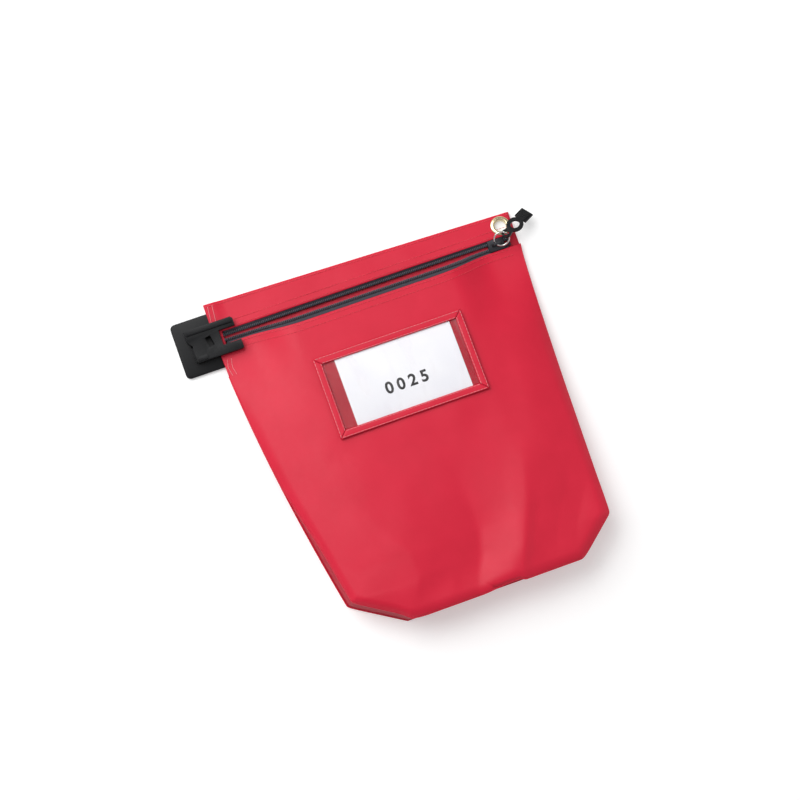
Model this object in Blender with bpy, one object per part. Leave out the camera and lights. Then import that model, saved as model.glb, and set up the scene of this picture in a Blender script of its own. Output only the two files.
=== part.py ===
"""Cash deposit bag: a red coated-fabric zip bag with a gusseted base, a label
window, a hanging eyelet and a moulded housing that a security seal locks.

The bag lies on its back. X runs along the zip, Y from the base towards the
header, Z out of the front. The origin is the centre of the back panel's
underside. Lengths are in metres.
"""

import math

import bmesh
import bpy
from mathutils import Matrix, Vector

# Bag
BAG_WIDTH = 0.267
BAG_HEIGHT = 0.300
HEADER_DROP = 0.007          # how far the header's top edge falls from left to right
HEADER_DEPTH = 0.031         # zip line below the header's left corner
FABRIC = 0.0007
GAP = 0.0003                 # between pieces that touch
GUSSET_RISE = 0.031          # rise of the front panel's side edges from zip to base
GUSSET_INSET = 0.0012
CROWN = 0.003                # extra height of the front panel's middle at the base
LEFT_TAPER = 0.030           # how far each side pulls in at its lower corner
RIGHT_TAPER = 0.0120
LEFT_CHAMFER = (0.0425, 0.0265)
RIGHT_CHAMFER = (0.033, 0.0275)

# Zip
SLIDER_ROOM = 0.0005         # slider's side to the fabric edge
CHAIN_SLOT = 0.0008          # tooth tips to zip line
CHAIN_WIDTH = 0.003
CHAIN_THICK = 0.0024
TAPE_THICK = 0.0006
TAPE_REACH = 0.0085          # tape's outer edge to zip line
CHAIN_INSET_LEFT = 0.0085    # chain's ends from the bag's edges
CHAIN_INSET_RIGHT = 0.010
STOP_LENGTH = 0.0022
STOP_PROUD = 0.0002           # how far a stop stands past the chain's faces
MOUTH_LIFT = 0.014           # how far the lower lip stands open
MOUTH_BACK = 0.0035          # how far the lip falls back from the zip line as it lifts
MOUTH_RAMP = 0.040           # run over which the lip rises at either end

# Slider, split ring and puller
SLIDER_LENGTH = 0.014
SLIDER_WIDTH = 0.0096
SLIDER_HEIGHT = 0.0046
SLIDER_PLATE = 0.001
SLIDER_INSET_OPEN = 0.0195   # slider's middle from the bag's right edge, zip open
SLIDER_INSET_SHUT = 0.0175   # and from its left edge, zip shut
POST_WIDTH = 0.001
BAIL_LENGTH = 0.0085
BAIL_WIDTH = 0.0018
BAIL_WALL = 0.0011
BAIL_ROOM = 0.00004          # between the ring and the bail at the ring's lowest point
BAIL_CORNER = 0.0015
BAIL_SINK = 0.0003           # how far the bail's feet sink into the slider
POST_START = 0.0012          # the post's ends from the slider's front
POST_END = 0.0062
LIP_ROOM = 0.0002            # chain's outer side to the slider's turned-in lip
RING_RADIUS = 0.0064         # to the middle of the wire
RING_WIRE = 0.0006
LINK_HEADING = math.radians(27.5)
RING_PITCH = math.radians(30)
RING_ROLL = math.radians(28)
PULLER_PITCH = math.radians(-8)
PULLER_ROLL = math.radians(-28)
PULLER_THICK = 0.0016
PULLER_EYE_AT = 0.0108       # big eye's centre from the ring's hole
PULLER_EYE = 0.0072
PULLER_EYE_HOLE = 0.0040
PULLER_FOOT = 0.0042
PULLER_FOOT_HOLE = 0.0021
PULLER_WAIST = 0.0034
PULLER_GRIP = (0.0175, 0.0270, 0.0060)   # start, end, half width

# Eyelet
EYELET_FROM_TOP = 0.0098
EYELET_FROM_SIDE = 0.0105
EYELET_FLANGE = 0.0085
EYELET_BARREL = 0.0056
EYELET_WALL = 0.0006
EYELET_THICK = 0.0010

# Security seal
PLATE_OUT = 0.032            # past the bag's left edge
PLATE_HEIGHT = 0.047
PLATE_THICK = 0.0016
PLATE_CORNER = 0.004
HOUSING_OUT = 0.023
HOUSING_UP = 0.014           # upper edge above the zip line
HOUSING_DOWN = 0.014
HOUSING_TOP = 0.0105
ARM_UPPER = 0.019            # how far each arm reaches over the fabric
ARM_LOWER = 0.0205
FORK_ROOT = 0.005
FORK_HALF = 0.0064
RAIL_WIDTH = 0.0045
RAIL_HEIGHT = 0.0017
CHAMBER_WALL = 0.0016
SLOT_HALF = (0.0024, 0.0043)
SLOT_OUT = 0.0046            # slot's middle from the bag's edge
SLOT_TURN = math.radians(10)

# Label window
WINDOW_X = -0.0005
WINDOW_TOP = 0.0755          # Y of the window's upper edge
WINDOW_WIDTH = 0.129
WINDOW_HEIGHT = 0.070
BORDER = 0.008
FILM = 0.0003
FILM_INSET = 0.001
CARD = 0.0004
CARD_WIDTH = 0.100
CARD_HEIGHT = 0.060
CARD_OFFSET = (0.0024, 0.0)

HALF = BAG_WIDTH / 2
BAND = SLIDER_WIDTH / 2 + SLIDER_ROOM    # fabric edge to zip line
# A rolled ring dips below the bail's middle on one side, the further the larger it is.
RING_TILT = math.sin(RING_ROLL) * math.cos(RING_PITCH)
RING_DIP = RING_RADIUS * RING_TILT**2 / (2 * math.sin(RING_PITCH))
BAIL_OPENING = 2 * (RING_WIRE + RING_DIP + BAIL_ROOM)
CHAIN_LEFT = -HALF + CHAIN_INSET_LEFT
CHAIN_RIGHT = HALF - CHAIN_INSET_RIGHT
SLIDER_X = HALF - SLIDER_INSET_OPEN
SLIDER_TRAVEL = BAG_WIDTH - SLIDER_INSET_OPEN - SLIDER_INSET_SHUT
# How far the seal's plate reaches under the fabric.
PLATE_IN = CHAIN_INSET_LEFT - STOP_LENGTH - 2 * GAP
TOP = BAG_HEIGHT / 2
BOTTOM = -BAG_HEIGHT / 2
ZIP_Y = TOP - HEADER_DEPTH
ZIP_Z = FABRIC + GAP + SLIDER_HEIGHT / 2
LIP_Y = ZIP_Y - BAND
LIP_Z = ZIP_Z + TAPE_THICK / 2 + GAP + FABRIC
PANEL_RUN = LIP_Y - BOTTOM
FLAT_RIGHT = SLIDER_X - SLIDER_LENGTH / 2 - 0.001
FLAT_LEFT = SLIDER_X - SLIDER_TRAVEL + SLIDER_LENGTH / 2 + 0.001
FLAT_SHARE = (HOUSING_DOWN - BAND + 0.001) / PANEL_RUN   # level under the housing's lower arm

COLOURS = {
    "red_fabric": ((0.66, 0.020, 0.055), 0.38, 0.0),
    "zip_tape": ((0.045, 0.042, 0.060), 0.85, 0.0),
    "zip_nylon": ((0.060, 0.060, 0.075), 0.45, 0.0),
    "black_plastic": ((0.022, 0.023, 0.026), 0.42, 0.0),
    "brass": ((0.80, 0.66, 0.36), 0.25, 1.0),
    "nickel": ((0.80, 0.80, 0.80), 0.18, 1.0),
    "dark_metal": ((0.10, 0.10, 0.12), 0.35, 1.0),
    "clear_film": ((0.90, 0.93, 0.95), 0.08, 0.0),
    "white_card": ((0.90, 0.90, 0.93), 0.70, 0.0),
}


def clear_scene():
    for old in list(bpy.data.objects):
        bpy.data.objects.remove(old, do_unlink=True)


def finish_material(name):
    if name in bpy.data.materials:
        return bpy.data.materials[name]
    colour, roughness, metallic = COLOURS[name]
    material = bpy.data.materials.new(name)
    material.use_nodes = True
    shader = material.node_tree.nodes["Principled BSDF"]
    shader.inputs["Base Color"].default_value = (*colour, 1.0)
    shader.inputs["Roughness"].default_value = roughness
    shader.inputs["Metallic"].default_value = metallic
    return material


def add_object(name, bm, finish, location=(0, 0, 0), parent=None, smooth=False):
    """Turns a closed bmesh into an object whose faces point outwards."""
    bmesh.ops.recalc_face_normals(bm, faces=bm.faces)
    mesh = bpy.data.meshes.new(name)
    bm.to_mesh(mesh)
    bm.free()
    if smooth:
        mesh.shade_smooth()
        mesh.set_sharp_from_angle(angle=math.radians(35))
    mesh.materials.append(finish_material(finish))
    obj = bpy.data.objects.new(name, mesh)
    obj.location = location
    obj.parent = parent
    bpy.context.scene.collection.objects.link(obj)
    return obj


def add_empty(name, location, rotation=None, parent=None):
    empty = bpy.data.objects.new(name, None)
    empty.matrix_local = Matrix.Translation(location) @ (rotation or Matrix.Identity(4))
    empty.parent = parent
    bpy.context.scene.collection.objects.link(empty)
    return empty


def combine(obj, tool, operation):
    """Adds or cuts a helper shape with a Boolean modifier."""
    tool.hide_render = True
    tool.display_type = "WIRE"
    modifier = obj.modifiers.new(f"{operation.lower()} {tool.name}", "BOOLEAN")
    modifier.operation = operation
    modifier.object = tool
    modifier.solver = "EXACT"


def extruded(outline, low, high):
    """A prism in Z over a plan outline of (x, y) points."""
    bm = bmesh.new()
    bottom = [bm.verts.new((x, y, low)) for x, y in outline]
    top = [bm.verts.new((x, y, high)) for x, y in outline]
    bm.faces.new(bottom)
    bm.faces.new(top)
    for i in range(len(outline)):
        j = (i + 1) % len(outline)
        bm.faces.new((bottom[i], bottom[j], top[j], top[i]))
    return bm


def block(x0, x1, y0, y1, z0, z1):
    return extruded([(x0, y0), (x1, y0), (x1, y1), (x0, y1)], z0, z1)


def turned(profile, segments=36):
    """A closed ring turned about Z from an (r, z) profile."""
    bm = bmesh.new()
    rings = []
    for step in range(segments):
        angle = math.tau * step / segments
        rings.append(
            [bm.verts.new((r * math.cos(angle), r * math.sin(angle), z)) for r, z in profile]
        )
    for step, ring in enumerate(rings):
        after = rings[(step + 1) % segments]
        for i in range(len(profile)):
            j = (i + 1) % len(profile)
            bm.faces.new((ring[i], ring[j], after[j], after[i]))
    return bm


def disc(radius, low, high, segments=36):
    angles = [math.tau * i / segments for i in range(segments)]
    return extruded([(radius * math.cos(a), radius * math.sin(a)) for a in angles], low, high)


def sheet(rows, thickness):
    """A closed sheet below a grid of points on its upper face."""
    bm = bmesh.new()
    upper = [[bm.verts.new(point) for point in row] for row in rows]
    drop = Vector((0, 0, -thickness))
    lower = [[bm.verts.new(Vector(point) + drop) for point in row] for row in rows]
    for j in range(len(rows) - 1):
        for i in range(len(rows[0]) - 1):
            for grid in (upper, lower):
                bm.faces.new((grid[j][i], grid[j][i + 1], grid[j + 1][i + 1], grid[j + 1][i]))
    rim_upper = rim(upper)
    rim_lower = rim(lower)
    for i in range(len(rim_upper)):
        j = (i + 1) % len(rim_upper)
        bm.faces.new((rim_upper[i], rim_upper[j], rim_lower[j], rim_lower[i]))
    return bm


def rim(grid):
    return (
        grid[0][:-1]
        + [row[-1] for row in grid[:-1]]
        + grid[-1][:0:-1]
        + [row[0] for row in grid[:0:-1]]
    )


def steps(start, end, count):
    return [start + (end - start) * i / count for i in range(count + 1)]


def mix(a, b, share):
    return a + (b - a) * share


def smooth_step(value):
    value = min(max(value, 0.0), 1.0)
    return value * value * (3 - 2 * value)


def rounded(x0, x1, y0, y1, radius, corner_steps=6):
    """A rectangle's outline with round corners."""
    centres = (
        (x1 - radius, y1 - radius, 0),
        (x0 + radius, y1 - radius, 90),
        (x0 + radius, y0 + radius, 180),
        (x1 - radius, y0 + radius, 270),
    )
    outline = []
    for cx, cy, start in centres:
        for step in range(corner_steps + 1):
            angle = math.radians(start + 90 * step / corner_steps)
            outline.append((cx + radius * math.cos(angle), cy + radius * math.sin(angle)))
    return outline


# The bag's surfaces


def header_top(x):
    return TOP - HEADER_DROP * (x + HALF) / BAG_WIDTH


def lip_lift(x):
    """Share of the mouth's opening at a point along the zip."""
    rise = smooth_step((x - FLAT_LEFT) / MOUTH_RAMP)
    return rise * smooth_step((FLAT_RIGHT - x) / MOUTH_RAMP)


def side_edges(y):
    """The front panel's left and right edges at a height, with the base's cut corners."""
    left_corner = BOTTOM + LEFT_CHAMFER[1]
    right_corner = BOTTOM + RIGHT_CHAMFER[1]
    left_share = min((LIP_Y - y) / (LIP_Y - left_corner), 1.0)
    right_share = min((LIP_Y - y) / (LIP_Y - right_corner), 1.0)
    left = -HALF + LEFT_TAPER * max(left_share, 0) ** 1.6
    right = HALF - RIGHT_TAPER * max(right_share, 0) ** 0.7
    left += LEFT_CHAMFER[0] * max(left_corner - y, 0) / LEFT_CHAMFER[1]
    right -= RIGHT_CHAMFER[0] * max(right_corner - y, 0) / RIGHT_CHAMFER[1]
    return left, right


def front_point(u, s):
    """The front panel's upper face: u runs left to right, s from the lip to the base."""
    y = LIP_Y - PANEL_RUN * s
    left, right = side_edges(y)
    x = mix(left, right, u)
    across = 1 - abs(2 * u - 1) ** 4
    open_share = mix(lip_lift(x), across, smooth_step((s - FLAT_SHARE) / 0.25))
    edge = LIP_Z + GUSSET_RISE * max(s - FLAT_SHARE, 0) / (1 - FLAT_SHARE)
    middle = LIP_Z + MOUTH_LIFT + (GUSSET_RISE - MOUTH_LIFT + CROWN) * s
    y -= MOUTH_BACK * lip_lift(x) * max(1 - s / 0.15, 0)
    return Vector((x, y, mix(edge, middle, open_share)))


def header_point(u, t):
    """The header facing's upper face: t runs from the header's top edge to the zip."""
    x = mix(-HALF, HALF, u)
    y = mix(header_top(x), ZIP_Y + BAND, t)
    plate_edge = -HALF + PLATE_IN
    on_plate = smooth_step((plate_edge + 0.010 - x) / 0.009)
    low = FABRIC + GAP + (PLATE_THICK + GAP) * on_plate
    high = LIP_Z - FABRIC
    closing = smooth_step((HALF - x) / 0.003)
    return Vector((x, y, mix(low, high, t * closing) + FABRIC))


ROWS = [0, 0.02, 0.05, 0.10, 0.17, 0.25, 0.35, 0.45, 0.55, 0.65, 0.75, 0.83]
ROWS += [1 - RIGHT_CHAMFER[1] / PANEL_RUN, 1 - LEFT_CHAMFER[1] / PANEL_RUN, 0.96, 1]
# Closer together where the lip rises at either end of the mouth.
RISE_LEFT = ((FLAT_LEFT + HALF) / BAG_WIDTH, (FLAT_LEFT + MOUTH_RAMP + HALF) / BAG_WIDTH)
RISE_RIGHT = ((FLAT_RIGHT - MOUTH_RAMP + HALF) / BAG_WIDTH, (FLAT_RIGHT + HALF) / BAG_WIDTH)
COLUMNS = steps(0, RISE_LEFT[0], 3)[:-1] + steps(*RISE_LEFT, 8)[:-1]
COLUMNS += steps(RISE_LEFT[1], RISE_RIGHT[0], 6)[:-1] + steps(*RISE_RIGHT, 8)[:-1]
COLUMNS += steps(RISE_RIGHT[1], 1, 4)


def columns_between(start, end):
    """The front panel's columns from one X to another, so that what lies under it follows it."""
    first = (start + HALF) / BAG_WIDTH
    last = (end + HALF) / BAG_WIDTH
    return [first] + [u for u in COLUMNS if first < u < last] + [last]


def build_back_panel():
    columns = steps(0, 1, 4)
    rows = []
    for t in (0, 0.5):
        rows.append([(mix(-HALF, HALF, u), header_point(u, t).y, FABRIC) for u in columns])
    for s in ROWS:
        y = LIP_Y - PANEL_RUN * s
        rows.append([(mix(*side_edges(y), u), y, FABRIC) for u in columns])
    panel = add_object("back_panel", sheet(rows, FABRIC), "red_fabric")
    hole = add_object("back_panel_hole", disc(EYELET_FLANGE + GAP, -0.01, 0.01), "red_fabric")
    hole.location = eyelet_centre().xy.to_3d()
    combine(panel, hole, "DIFFERENCE")


def build_front_panel():
    rows = [[front_point(u, s) for u in COLUMNS] for s in ROWS]
    add_object("front_panel", sheet(rows, FABRIC), "red_fabric", smooth=True)


def build_base_gusset():
    """The strip round the sides and base, standing between the two panels."""
    left_start = (LIP_Y - (ZIP_Y - PLATE_HEIGHT / 2 - 0.001)) / PANEL_RUN
    right_side = [front_point(1, s) for s in ROWS[1:]]
    base = [front_point(u, 1) for u in COLUMNS[-2:0:-1]]
    left_side = [front_point(0, s) for s in reversed(ROWS) if s > left_start]
    path = right_side + base + left_side + [front_point(0, left_start)]
    low = FABRIC + GAP
    bm = bmesh.new()
    stations = []
    for i, point in enumerate(path):
        run = (path[min(i + 1, len(path) - 1)] - path[max(i - 1, 0)]).xy.normalized()
        inward = Vector((run.y, -run.x))
        high = point.z - FABRIC - 2 * GAP
        outer = point.xy + inward * GUSSET_INSET
        inner = outer + inward * FABRIC
        corners = ((outer, low), (outer, high), (inner, high), (inner, low))
        stations.append([bm.verts.new((p.x, p.y, z)) for p, z in corners])
    for here, after in zip(stations, stations[1:]):
        for i in range(4):
            j = (i + 1) % 4
            bm.faces.new((here[i], here[j], after[j], after[i]))
    bm.faces.new(stations[0])
    bm.faces.new(stations[-1])
    add_object("base_gusset", bm, "red_fabric", smooth=True)


def build_header_facing():
    columns = steps(0, 0.12, 8)[:-1] + steps(0.12, 0.95, 8)[:-1] + steps(0.95, 1, 6)
    rows = [[header_point(u, t) for u in columns] for t in (0, 0.25, 0.5, 0.75, 1)]
    facing = add_object("header_facing", sheet(rows, FABRIC), "red_fabric", smooth=True)
    hole = add_object("header_hole", disc(EYELET_BARREL + GAP, -0.01, 0.01), "red_fabric")
    hole.matrix_local = eyelet_frame()
    combine(facing, hole, "DIFFERENCE")


# The eyelet


def eyelet_centre():
    """Where the eyelet's axis meets the facing's upper face."""
    x = HALF - EYELET_FROM_SIDE
    y = header_top(x) - EYELET_FROM_TOP
    depth = header_top(x) - ZIP_Y - BAND
    return header_point((x + HALF) / BAG_WIDTH, (header_top(x) - y) / depth)


def eyelet_frame():
    """The eyelet leans with the facing, which rises from the header's edge to the zip."""
    centre = eyelet_centre()
    depth = header_top(centre.x) - ZIP_Y - BAND
    lean = math.atan2(LIP_Z - 2 * FABRIC - GAP, depth)
    return Matrix.Translation(centre) @ Matrix.Rotation(-lean, 4, "X")


def build_eyelet():
    inner = EYELET_BARREL - EYELET_WALL
    depth = eyelet_centre().z - EYELET_THICK / 2
    profile = [
        (inner, -depth),
        (EYELET_BARREL, -depth),
        (EYELET_BARREL, GAP),
        (EYELET_FLANGE, GAP),
        (EYELET_FLANGE - 0.0006, GAP + 0.6 * EYELET_THICK),
        (EYELET_FLANGE - 0.0018, GAP + EYELET_THICK),
        (inner + 0.0009, GAP + EYELET_THICK),
        (inner, GAP + 0.4 * EYELET_THICK),
    ]
    eyelet = add_object("eyelet", turned(profile), "brass", smooth=True)
    eyelet.matrix_local = eyelet_frame()


def build_eyelet_washer():
    bore = EYELET_BARREL + 2 * GAP
    profile = [
        (bore, 0.0001),
        (EYELET_FLANGE, 0.0001),
        (EYELET_FLANGE, 0.0001 + 0.5 * EYELET_THICK),
        (bore, 0.0001 + 0.5 * EYELET_THICK),
    ]
    centre = eyelet_centre().xy.to_3d()
    add_object("eyelet_washer", turned(profile), "brass", centre, smooth=True)


# The zip


def build_zip_tapes():
    columns = columns_between(CHAIN_LEFT, CHAIN_RIGHT + 0.003)
    drop = Vector((0, 0, -(FABRIC + GAP)))
    chain_edge = CHAIN_SLOT + CHAIN_WIDTH + GAP
    out = Vector((0, BAND - chain_edge, 0))
    hidden = (TAPE_REACH - BAND) / PANEL_RUN
    lower = [[front_point(u, 0) + drop + out for u in columns]]
    lower += [[front_point(u, s) + drop for u in columns] for s in (0, hidden)]
    add_object("zip_tape_lower", sheet(lower, TAPE_THICK), "zip_tape", smooth=True)

    upper = [[header_point(u, 1) + drop - out for u in columns]]
    upper.append([header_point(u, 1) + drop for u in columns])
    under = []
    for u in columns:
        x = mix(-HALF, HALF, u)
        share = 1 - (TAPE_REACH - BAND) / (header_top(x) - ZIP_Y - BAND)
        under.append(header_point(u, share) + drop)
    upper.append(under)
    add_object("zip_tape_upper", sheet(upper, TAPE_THICK), "zip_tape", smooth=True)


def chain_bar(side):
    """One half of the tooth chain: side is +1 above the zip line and -1 below it."""
    rows = []
    for y in (CHAIN_SLOT, CHAIN_SLOT + CHAIN_WIDTH):
        row = []
        for u in columns_between(CHAIN_LEFT, CHAIN_RIGHT):
            x = mix(-HALF, HALF, u)
            share = lip_lift(x) if side < 0 else 0
            lift = MOUTH_LIFT * share
            back = MOUTH_BACK * share
            row.append((x, ZIP_Y + side * y - back, ZIP_Z + CHAIN_THICK / 2 + lift))
        rows.append(row)
    return sheet(rows, CHAIN_THICK)


def build_zip_chains():
    add_object("zip_chain_upper", chain_bar(1), "zip_nylon")
    add_object("zip_chain_lower", chain_bar(-1), "zip_nylon")


def build_zip_stops():
    """Crimped metal stops: one on each half at the seal's end, and one across both at the other."""
    low = ZIP_Z - CHAIN_THICK / 2 - STOP_PROUD
    high = ZIP_Z + CHAIN_THICK / 2 + STOP_PROUD
    near = CHAIN_LEFT - GAP - STOP_LENGTH
    reach = CHAIN_SLOT + CHAIN_WIDTH
    for name, side in (("zip_stop_upper", 1), ("zip_stop_lower", -1)):
        y0, y1 = sorted((ZIP_Y + side * CHAIN_SLOT, ZIP_Y + side * reach))
        add_object(name, block(near, CHAIN_LEFT - GAP, y0, y1, low, high), "dark_metal")
    x0 = CHAIN_RIGHT + GAP
    end_bm = block(x0, x0 + STOP_LENGTH, ZIP_Y - reach, ZIP_Y + reach, low, high)
    add_object("zip_stop_end", end_bm, "dark_metal")


def slider_half(side):
    """One plate of the slider with the lips that turn in round the chain, as a (y, z) outline."""
    half = SLIDER_WIDTH / 2
    lip = half - (CHAIN_SLOT + CHAIN_WIDTH + LIP_ROOM)
    outer = SLIDER_HEIGHT / 2
    inner = outer - SLIDER_PLATE
    lip_end = TAPE_THICK / 2 + GAP
    outline = [
        (-half, lip_end),
        (-half, outer),
        (half, outer),
        (half, lip_end),
        (half - lip, lip_end),
        (half - lip, inner),
        (-half + lip, inner),
        (-half + lip, lip_end),
    ]
    return [(y, side * z) for y, z in outline]


def prism_along_x(outline, x0, x1):
    """A prism in X over a (y, z) outline."""
    bm = extruded(outline, x0, x1)
    turn = Matrix(((0, 0, 1, 0), (1, 0, 0, 0), (0, 1, 0, 0), (0, 0, 0, 1)))
    bmesh.ops.transform(bm, verts=bm.verts, matrix=turn)
    return bm


def build_slider(carrier):
    reach = SLIDER_LENGTH / 2
    upper_bm = prism_along_x(slider_half(1), -reach, reach)
    body = add_object("zip_slider_body", upper_bm, "dark_metal", parent=carrier)
    under_bm = prism_along_x(slider_half(-1), -reach, reach)
    under = add_object("slider_under", under_bm, "dark_metal", parent=carrier)
    inner = SLIDER_HEIGHT / 2 - SLIDER_PLATE / 2
    post_half = POST_WIDTH / 2
    post_bm = block(POST_START - reach, POST_END - reach, -post_half, post_half, -inner, inner)
    post = add_object("slider_post", post_bm, "dark_metal", parent=carrier)
    foot = SLIDER_HEIGHT / 2
    low = foot - BAIL_SINK
    shoulder = foot + 0.6 * BAIL_OPENING
    ceiling = foot + BAIL_OPENING
    outer = BAIL_LENGTH / 2
    opening = outer - BAIL_WALL
    half_arch = [
        (outer - BAIL_CORNER, ceiling + BAIL_WALL),
        (outer, shoulder),
        (outer, low),
        (opening, low),
        (opening, shoulder),
        (opening - BAIL_CORNER + BAIL_WALL / 2, ceiling),
    ]
    arch = half_arch + [(-x, z) for x, z in reversed(half_arch)]
    bail_bm = extruded(arch, -BAIL_WIDTH / 2, BAIL_WIDTH / 2)
    upright = Matrix.Rotation(math.radians(90), 3, "X")
    bmesh.ops.rotate(bail_bm, verts=bail_bm.verts, matrix=upright)
    bail = add_object("slider_bail", bail_bm, "dark_metal", parent=carrier)
    for piece in (post, under, bail):
        combine(body, piece, "UNION")


def link_frame(pitch, roll):
    """Turns +X to the link's heading and pitch, then rolls about it."""
    turn = Matrix.Rotation(LINK_HEADING, 4, "Z") @ Matrix.Rotation(-pitch, 4, "Y")
    return turn @ Matrix.Rotation(roll, 4, "X")


def build_split_ring(pivot):
    bm = bmesh.new()
    around = 28
    section = 8
    rings = []
    for step in range(around):
        angle = math.tau * step / around
        ring = []
        for side in range(section):
            turn = math.tau * side / section
            r = RING_RADIUS + RING_WIRE * math.cos(turn)
            x = RING_RADIUS + r * math.cos(angle)
            ring.append(bm.verts.new((x, r * math.sin(angle), RING_WIRE * math.sin(turn))))
        rings.append(ring)
    for step, ring in enumerate(rings):
        after = rings[(step + 1) % around]
        for i in range(section):
            j = (i + 1) % section
            bm.faces.new((ring[i], ring[j], after[j], after[i]))
    add_object("split_ring", bm, "nickel", parent=pivot, smooth=True)


def puller_half_width(x):
    """The puller's half width at a distance from the ring's hole."""
    widths = [PULLER_WAIST if 0 <= x <= PULLER_GRIP[1] else 0]
    for centre, radius in ((0, PULLER_FOOT), (PULLER_EYE_AT, PULLER_EYE)):
        if abs(x - centre) < radius:
            widths.append(math.sqrt(radius**2 - (x - centre) ** 2))
    if PULLER_GRIP[0] <= x <= PULLER_GRIP[1]:
        widths.append(PULLER_GRIP[2])
    return max(widths)


def build_puller(pivot):
    stations = steps(-PULLER_FOOT * 0.97, PULLER_GRIP[0] - 0.0001, 30)
    stations += [PULLER_GRIP[0], PULLER_GRIP[1]]
    upper = [(x, puller_half_width(x)) for x in stations]
    outline = upper + [(x, -y) for x, y in reversed(upper)]
    half = PULLER_THICK / 2
    puller_bm = extruded(outline, -half, half)
    puller = add_object("zip_puller", puller_bm, "black_plastic", parent=pivot)
    for name, at, radius in (
        ("puller_eye_cut", PULLER_EYE_AT, PULLER_EYE_HOLE),
        ("puller_foot_cut", 0, PULLER_FOOT_HOLE),
    ):
        cut = add_object(name, disc(radius, -0.005, 0.005, 20), "black_plastic", (at, 0, 0), pivot)
        combine(puller, cut, "DIFFERENCE")


def build_slider_group():
    carrier = add_empty("slider_carrier", (SLIDER_X, ZIP_Y, ZIP_Z))
    build_slider(carrier)
    bail_middle = (0, 0, SLIDER_HEIGHT / 2 + BAIL_OPENING / 2)
    ring_turn = link_frame(RING_PITCH, RING_ROLL)
    ring_pivot = add_empty("ring_pivot", bail_middle, ring_turn, carrier)
    build_split_ring(ring_pivot)
    far_side = Vector(bail_middle) + ring_turn @ Vector((2 * RING_RADIUS, 0, 0))
    puller_turn = link_frame(PULLER_PITCH, PULLER_ROLL)
    build_puller(add_empty("puller_pivot", far_side, puller_turn, carrier))


# The security seal's housing


def build_seal_plate():
    low = FABRIC + GAP
    reach = PLATE_HEIGHT / 2
    outline = rounded(-HALF - PLATE_OUT, -HALF + PLATE_IN, ZIP_Y - reach, ZIP_Y + reach, PLATE_CORNER)
    plate_bm = extruded(outline, low, low + PLATE_THICK)
    add_object("seal_base_plate", plate_bm, "black_plastic", smooth=True)


def build_seal_housing():
    left = -HALF - HOUSING_OUT
    upper = ZIP_Y + HOUSING_UP
    lower = ZIP_Y - HOUSING_DOWN
    root = -HALF + FORK_ROOT
    over_fabric = LIP_Z + 2 * GAP
    outline = [
        (left, upper - 0.001),
        (left + 0.001, upper),
        (-HALF + ARM_UPPER - 0.0015, upper),
        (-HALF + ARM_UPPER, upper - 0.0015),
        (-HALF + ARM_UPPER, ZIP_Y + FORK_HALF),
        (root, ZIP_Y + FORK_HALF),
        (root, ZIP_Y - FORK_HALF),
        (-HALF + ARM_LOWER, ZIP_Y - FORK_HALF),
        (-HALF + ARM_LOWER, lower + 0.001),
        (-HALF + ARM_LOWER - 0.001, lower),
        (left + 0.004, lower),
        (left + 0.0025, lower + 0.0015),
        (left + 0.0025, ZIP_Y - 0.002),
        (left + 0.004, ZIP_Y),
        (left + 0.0025, ZIP_Y + 0.002),
        (left, ZIP_Y + 0.005),
    ]
    housing_bm = extruded(outline, over_fabric, HOUSING_TOP)
    housing = add_object("seal_housing", housing_bm, "black_plastic")
    plate_top = FABRIC + 2 * GAP + PLATE_THICK
    sunk = HOUSING_TOP - 0.0005
    rail_end = -HALF + ARM_UPPER - 0.0016
    rail_top = HOUSING_TOP + RAIL_HEIGHT
    foot = (left + 0.0041, -HALF - GAP, lower + 0.0001, upper - 0.0011, plate_top, over_fabric + 0.0002)
    rail = (left + 0.0011, rail_end, upper - RAIL_WIDTH, upper - 0.0001, sunk, rail_top)
    low_rail = (left + 0.0045, left + 0.013, lower + 0.001, lower + 0.0045, sunk, HOUSING_TOP + 0.0008)
    for name, box in (("housing_foot", foot), ("housing_rail", rail), ("housing_low_rail", low_rail)):
        combine(housing, add_object(name, block(*box), "black_plastic"), "UNION")
    y0 = ZIP_Y - FORK_HALF + CHAMBER_WALL
    y1 = ZIP_Y + FORK_HALF - CHAMBER_WALL
    z0 = plate_top + CHAMBER_WALL / 2
    chamber_bm = block(left + 0.0065, root + 0.001, y0, y1, z0, HOUSING_TOP - CHAMBER_WALL)
    slot_bm = block(-SLOT_HALF[0], SLOT_HALF[0], -SLOT_HALF[1], SLOT_HALF[1], -0.004, 0.004)
    slot = add_object("housing_slot", slot_bm, "black_plastic")
    slot.location = (-HALF - SLOT_OUT, ZIP_Y, HOUSING_TOP)
    slot.rotation_euler = (0, 0, SLOT_TURN)
    for cut in (add_object("housing_chamber", chamber_bm, "black_plastic"), slot):
        combine(housing, cut, "DIFFERENCE")


# The label window


def window_frame():
    """The flat patch of the front panel that the window is sewn to."""
    slope = (GUSSET_RISE - MOUTH_LIFT + CROWN) / PANEL_RUN
    middle = WINDOW_TOP - WINDOW_HEIGHT / 2
    height = LIP_Z + MOUTH_LIFT + slope * (LIP_Y - middle)
    tilt = Matrix.Rotation(-math.atan(slope), 4, "X")
    return add_empty("window_plane", (WINDOW_X, middle, height), tilt)


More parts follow.
